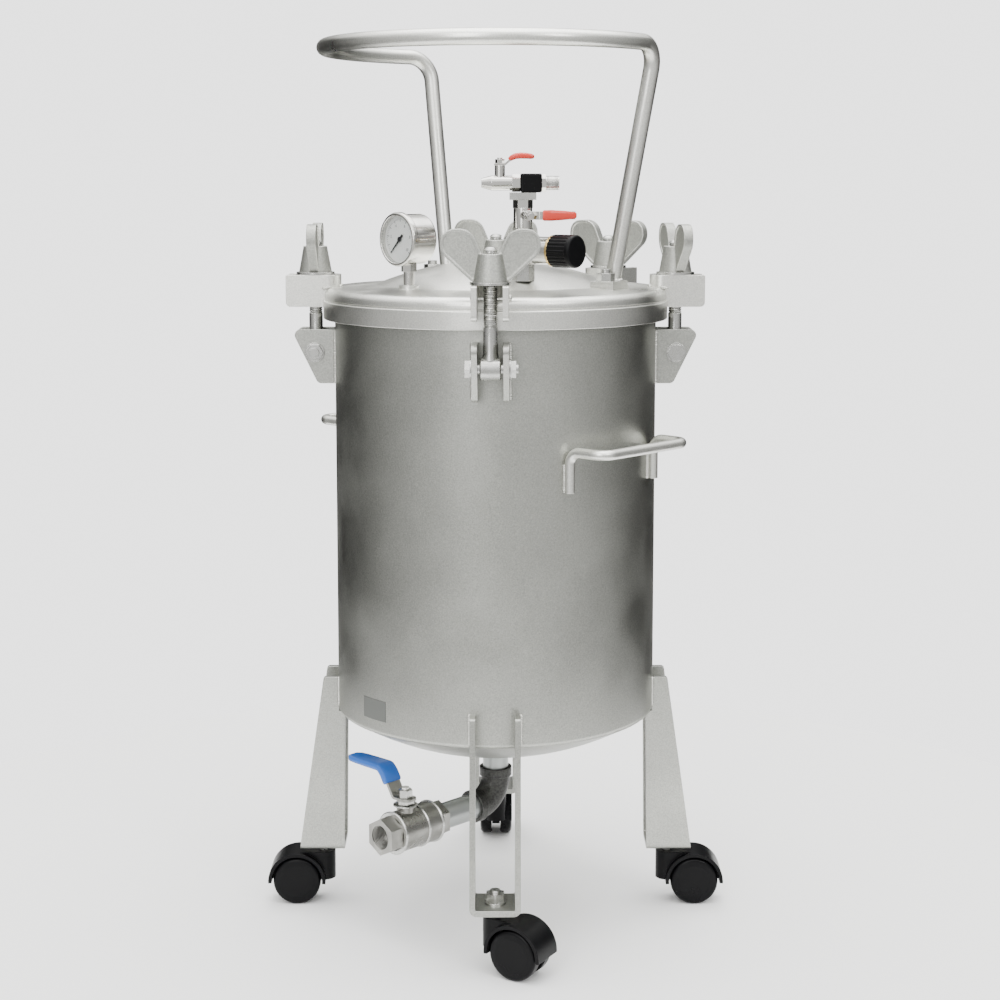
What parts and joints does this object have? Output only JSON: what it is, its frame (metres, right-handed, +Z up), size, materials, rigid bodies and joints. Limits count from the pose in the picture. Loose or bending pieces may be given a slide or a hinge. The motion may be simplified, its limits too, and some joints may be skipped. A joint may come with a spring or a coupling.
{
  "type": "resin pressure pot",
  "caption": "Upright steel pressure pot on swivel casters, with a domed lid clamped by swing bolts and wing nuts, a hoop handle, air fittings, a gauge and a bottom ball-valve outlet.",
  "frame": {"origin": "on the floor, on the tank axis", "axes": "+Z up along the tank axis, front towards -Y with the bottom outlet to the front left, +X to the right"},
  "size_m": [0.4816, 0.4686, 0.904],
  "materials": {
    "blasted_steel": "bead-blasted stainless steel",
    "cast_steel": "blasted cast stainless steel",
    "zinc_steel": "bright zinc-plated steel",
    "stainless_cast": "investment-cast stainless steel",
    "chrome": "polished nickel plate",
    "cast_iron": "dark malleable iron",
    "galvanised_pipe": "dull galvanised pipe",
    "black_plastic": "black moulded nylon",
    "blue_vinyl": "dipped blue vinyl",
    "red_vinyl": "dipped red vinyl",
    "gasket_rubber": "black rubber",
    "dial_white": "printed white dial",
    "needle_black": "black painted pointer",
    "gauge_glass": "clear flat glass"
  },
  "bodies": {
    "root": {"tank_shell": "blasted_steel", "lid_shell": "blasted_steel", "lid_gasket": "gasket_rubber", "lid_lugs": "blasted_steel", "clevis_plates": "blasted_steel", "clevis_pins": "zinc_steel", "lid_hoop": "blasted_steel", "hoop_fasteners": "zinc_steel", "side_handles": "blasted_steel", "leg_right": "blasted_steel", "leg_back": "blasted_steel", "leg_left": "blasted_steel", "leg_front": "blasted_steel", "caster_stems": "zinc_steel", "outlet_elbow": "cast_iron", "outlet_pipes": "galvanised_pipe", "drain_valve_body": "stainless_cast", "air_nipple": "zinc_steel", "regulator_body": "chrome", "supply_valve_body": "chrome", "tee_base": "zinc_steel", "tee_block": "black_plastic", "air_inlet": "chrome", "air_valve_body": "chrome", "gauge_case": "chrome", "gauge_dial": "dial_white", "gauge_glass": "gauge_glass"},
    "bolt_right": {"swing_bolt_right": "zinc_steel"},
    "washer_right": {"clamp_washer_right": "zinc_steel"},
    "nut_right": {"wing_nut_right": "cast_steel"},
    "bolt_rear_right": {"swing_bolt_rear_right": "zinc_steel"},
    "washer_rear_right": {"clamp_washer_rear_right": "zinc_steel"},
    "nut_rear_right": {"wing_nut_rear_right": "cast_steel"},
    "bolt_back": {"swing_bolt_back": "zinc_steel"},
    "washer_back": {"clamp_washer_back": "zinc_steel"},
    "nut_back": {"wing_nut_back": "cast_steel"},
    "bolt_left": {"swing_bolt_left": "zinc_steel"},
    "washer_left": {"clamp_washer_left": "zinc_steel"},
    "nut_left": {"wing_nut_left": "cast_steel"},
    "bolt_front": {"swing_bolt_front": "zinc_steel"},
    "washer_front": {"clamp_washer_front": "zinc_steel"},
    "nut_front": {"wing_nut_front": "cast_steel"},
    "caster_right": {"caster_hood_right": "black_plastic"},
    "wheels_right": {"caster_wheels_right": "black_plastic"},
    "caster_back": {"caster_hood_back": "black_plastic"},
    "wheels_back": {"caster_wheels_back": "black_plastic"},
    "caster_left": {"caster_hood_left": "black_plastic"},
    "wheels_left": {"caster_wheels_left": "black_plastic"},
    "caster_front": {"caster_hood_front": "black_plastic"},
    "wheels_front": {"caster_wheels_front": "black_plastic"},
    "drain_handle": {"drain_ball": "chrome", "drain_stem_nuts": "zinc_steel", "drain_lever": "stainless_cast", "drain_grip": "blue_vinyl"},
    "supply_handle": {"supply_lever": "chrome", "supply_grip": "red_vinyl"},
    "air_handle": {"air_lever": "chrome", "air_grip": "red_vinyl"},
    "regulator_dial": {"regulator_knob": "black_plastic"},
    "gauge_pointer": {"gauge_needle": "needle_black"}
  },
  "joints": [
    {"name": "bolt_swing_right", "type": "hinge", "parent": "root", "child": "bolt_right", "pos_m": [0.185, 0, 0.588], "axis": [0, 1, 0], "range_deg": [0, 58]},
    {"name": "washer_lift_right", "type": "slide", "parent": "bolt_right", "child": "washer_right", "axis": [0, 0, 1], "range_m": [0, 0.027]},
    {"name": "nut_spin_right", "type": "hinge", "parent": "washer_right", "child": "nut_right", "pos_m": [0.185, 0, 0.6695], "axis": [0, 0, 1], "range_deg": [0, 4800]},
    {"name": "bolt_swing_rear_right", "type": "hinge", "parent": "root", "child": "bolt_rear_right", "pos_m": [0.12379, 0.13748, 0.588], "axis": [-0.7431, 0.6691, 0], "range_deg": [0, 58]},
    {"name": "washer_lift_rear_right", "type": "slide", "parent": "bolt_rear_right", "child": "washer_rear_right", "axis": [0, 0, 1], "range_m": [0, 0.027]},
    {"name": "nut_spin_rear_right", "type": "hinge", "parent": "washer_rear_right", "child": "nut_rear_right", "pos_m": [0.12379, 0.13748, 0.6695], "axis": [0, 0, 1], "range_deg": [0, 4800]},
    {"name": "bolt_swing_back", "type": "hinge", "parent": "root", "child": "bolt_back", "pos_m": [0, 0.185, 0.588], "axis": [-1, 0, 0], "range_deg": [0, 58]},
    {"name": "washer_lift_back", "type": "slide", "parent": "bolt_back", "child": "washer_back", "axis": [0, 0, 1], "range_m": [0, 0.027]},
    {"name": "nut_spin_back", "type": "hinge", "parent": "washer_back", "child": "nut_back", "pos_m": [0, 0.185, 0.6695], "axis": [0, 0, 1], "range_deg": [0, 4800]},
    {"name": "bolt_swing_left", "type": "hinge", "parent": "root", "child": "bolt_left", "pos_m": [-0.185, 0, 0.588], "axis": [0, -1, 0], "range_deg": [0, 58]},
    {"name": "washer_lift_left", "type": "slide", "parent": "bolt_left", "child": "washer_left", "axis": [0, 0, 1], "range_m": [0, 0.027]},
    {"name": "nut_spin_left", "type": "hinge", "parent": "washer_left", "child": "nut_left", "pos_m": [-0.185, 0, 0.6695], "axis": [0, 0, 1], "range_deg": [0, 4800]},
    {"name": "bolt_swing_front", "type": "hinge", "parent": "root", "child": "bolt_front", "pos_m": [-0.0042, -0.18495, 0.588], "axis": [0.9997, -0.0227, 0], "range_deg": [0, 58]},
    {"name": "washer_lift_front", "type": "slide", "parent": "bolt_front", "child": "washer_front", "axis": [0, 0, 1], "range_m": [0, 0.027]},
    {"name": "nut_spin_front", "type": "hinge", "parent": "washer_front", "child": "nut_front", "pos_m": [-0.0042, -0.18495, 0.6695], "axis": [0, 0, 1], "range_deg": [0, 4800]},
    {"name": "caster_swivel_right", "type": "hinge", "parent": "root", "child": "caster_right", "pos_m": [0.1825, 0, 0.0553], "axis": [0, 0, 1], "continuous": true},
    {"name": "wheel_roll_right", "type": "hinge", "parent": "caster_right", "child": "wheels_right", "pos_m": [0.2105, 0, 0.025], "axis": [0, 1, 0], "continuous": true},
    {"name": "caster_swivel_back", "type": "hinge", "parent": "root", "child": "caster_back", "pos_m": [0, 0.1825, 0.0553], "axis": [0, 0, 1], "continuous": true},
    {"name": "wheel_roll_back", "type": "hinge", "parent": "caster_back", "child": "wheels_back", "pos_m": [0, 0.2105, 0.025], "axis": [-1, 0, 0], "continuous": true},
    {"name": "caster_swivel_left", "type": "hinge", "parent": "root", "child": "caster_left", "pos_m": [-0.1825, 0, 0.0553], "axis": [0, 0, 1], "continuous": true},
    {"name": "wheel_roll_left", "type": "hinge", "parent": "caster_left", "child": "wheels_left", "pos_m": [-0.2105, 0, 0.025], "axis": [0, -1, 0], "continuous": true},
    {"name": "caster_swivel_front", "type": "hinge", "parent": "root", "child": "caster_front", "pos_m": [0, -0.1825, 0.0553], "axis": [0, 0, 1], "continuous": true},
    {"name": "wheel_roll_front", "type": "hinge", "parent": "caster_front", "child": "wheels_front", "pos_m": [0.02425, -0.1965, 0.025], "axis": [0.5, 0.866, 0], "continuous": true},
    {"name": "drain_lever_turn", "type": "hinge", "parent": "root", "child": "drain_handle", "pos_m": [-0.091, -0.09423, 0.141], "axis": [0, 0, 1], "range_deg": [0, 90]},
    {"name": "supply_lever_turn", "type": "hinge", "parent": "root", "child": "supply_handle", "pos_m": [0.03225, -0.10817, 0.7295], "axis": [0.309, -0.9511, 0], "range_deg": [0, 90]},
    {"name": "air_lever_turn", "type": "hinge", "parent": "root", "child": "air_handle", "pos_m": [0.0045, -0.092, 0.77775], "axis": [0, 0, 1], "range_deg": [0, 90]},
    {"name": "regulator_turn", "type": "hinge", "parent": "root", "child": "regulator_dial", "pos_m": [0.05815, -0.11547, 0.6955], "axis": [0.7986, -0.6018, 0], "range_deg": [0, 1080]},
    {"name": "pointer_turn", "type": "hinge", "parent": "root", "child": "gauge_pointer", "pos_m": [-0.08485, -0.08485, 0.706], "axis": [0.7314, 0.682, 0], "range_deg": [0, 270]}
  ],
  "couplings": [
    {"joint": "washer_lift_right", "follows": "bolt_swing_right", "m_per_rad": 0.026277},
    {"joint": "nut_spin_right", "follows": "bolt_swing_right", "ratio": 82.552},
    {"joint": "washer_lift_rear_right", "follows": "bolt_swing_rear_right", "m_per_rad": 0.026277},
    {"joint": "nut_spin_rear_right", "follows": "bolt_swing_rear_right", "ratio": 82.552},
    {"joint": "washer_lift_back", "follows": "bolt_swing_back", "m_per_rad": 0.026277},
    {"joint": "nut_spin_back", "follows": "bolt_swing_back", "ratio": 82.552},
    {"joint": "washer_lift_left", "follows": "bolt_swing_left", "m_per_rad": 0.026277},
    {"joint": "nut_spin_left", "follows": "bolt_swing_left", "ratio": 82.552},
    {"joint": "washer_lift_front", "follows": "bolt_swing_front", "m_per_rad": 0.026277},
    {"joint": "nut_spin_front", "follows": "bolt_swing_front", "ratio": 82.552}
  ]
}
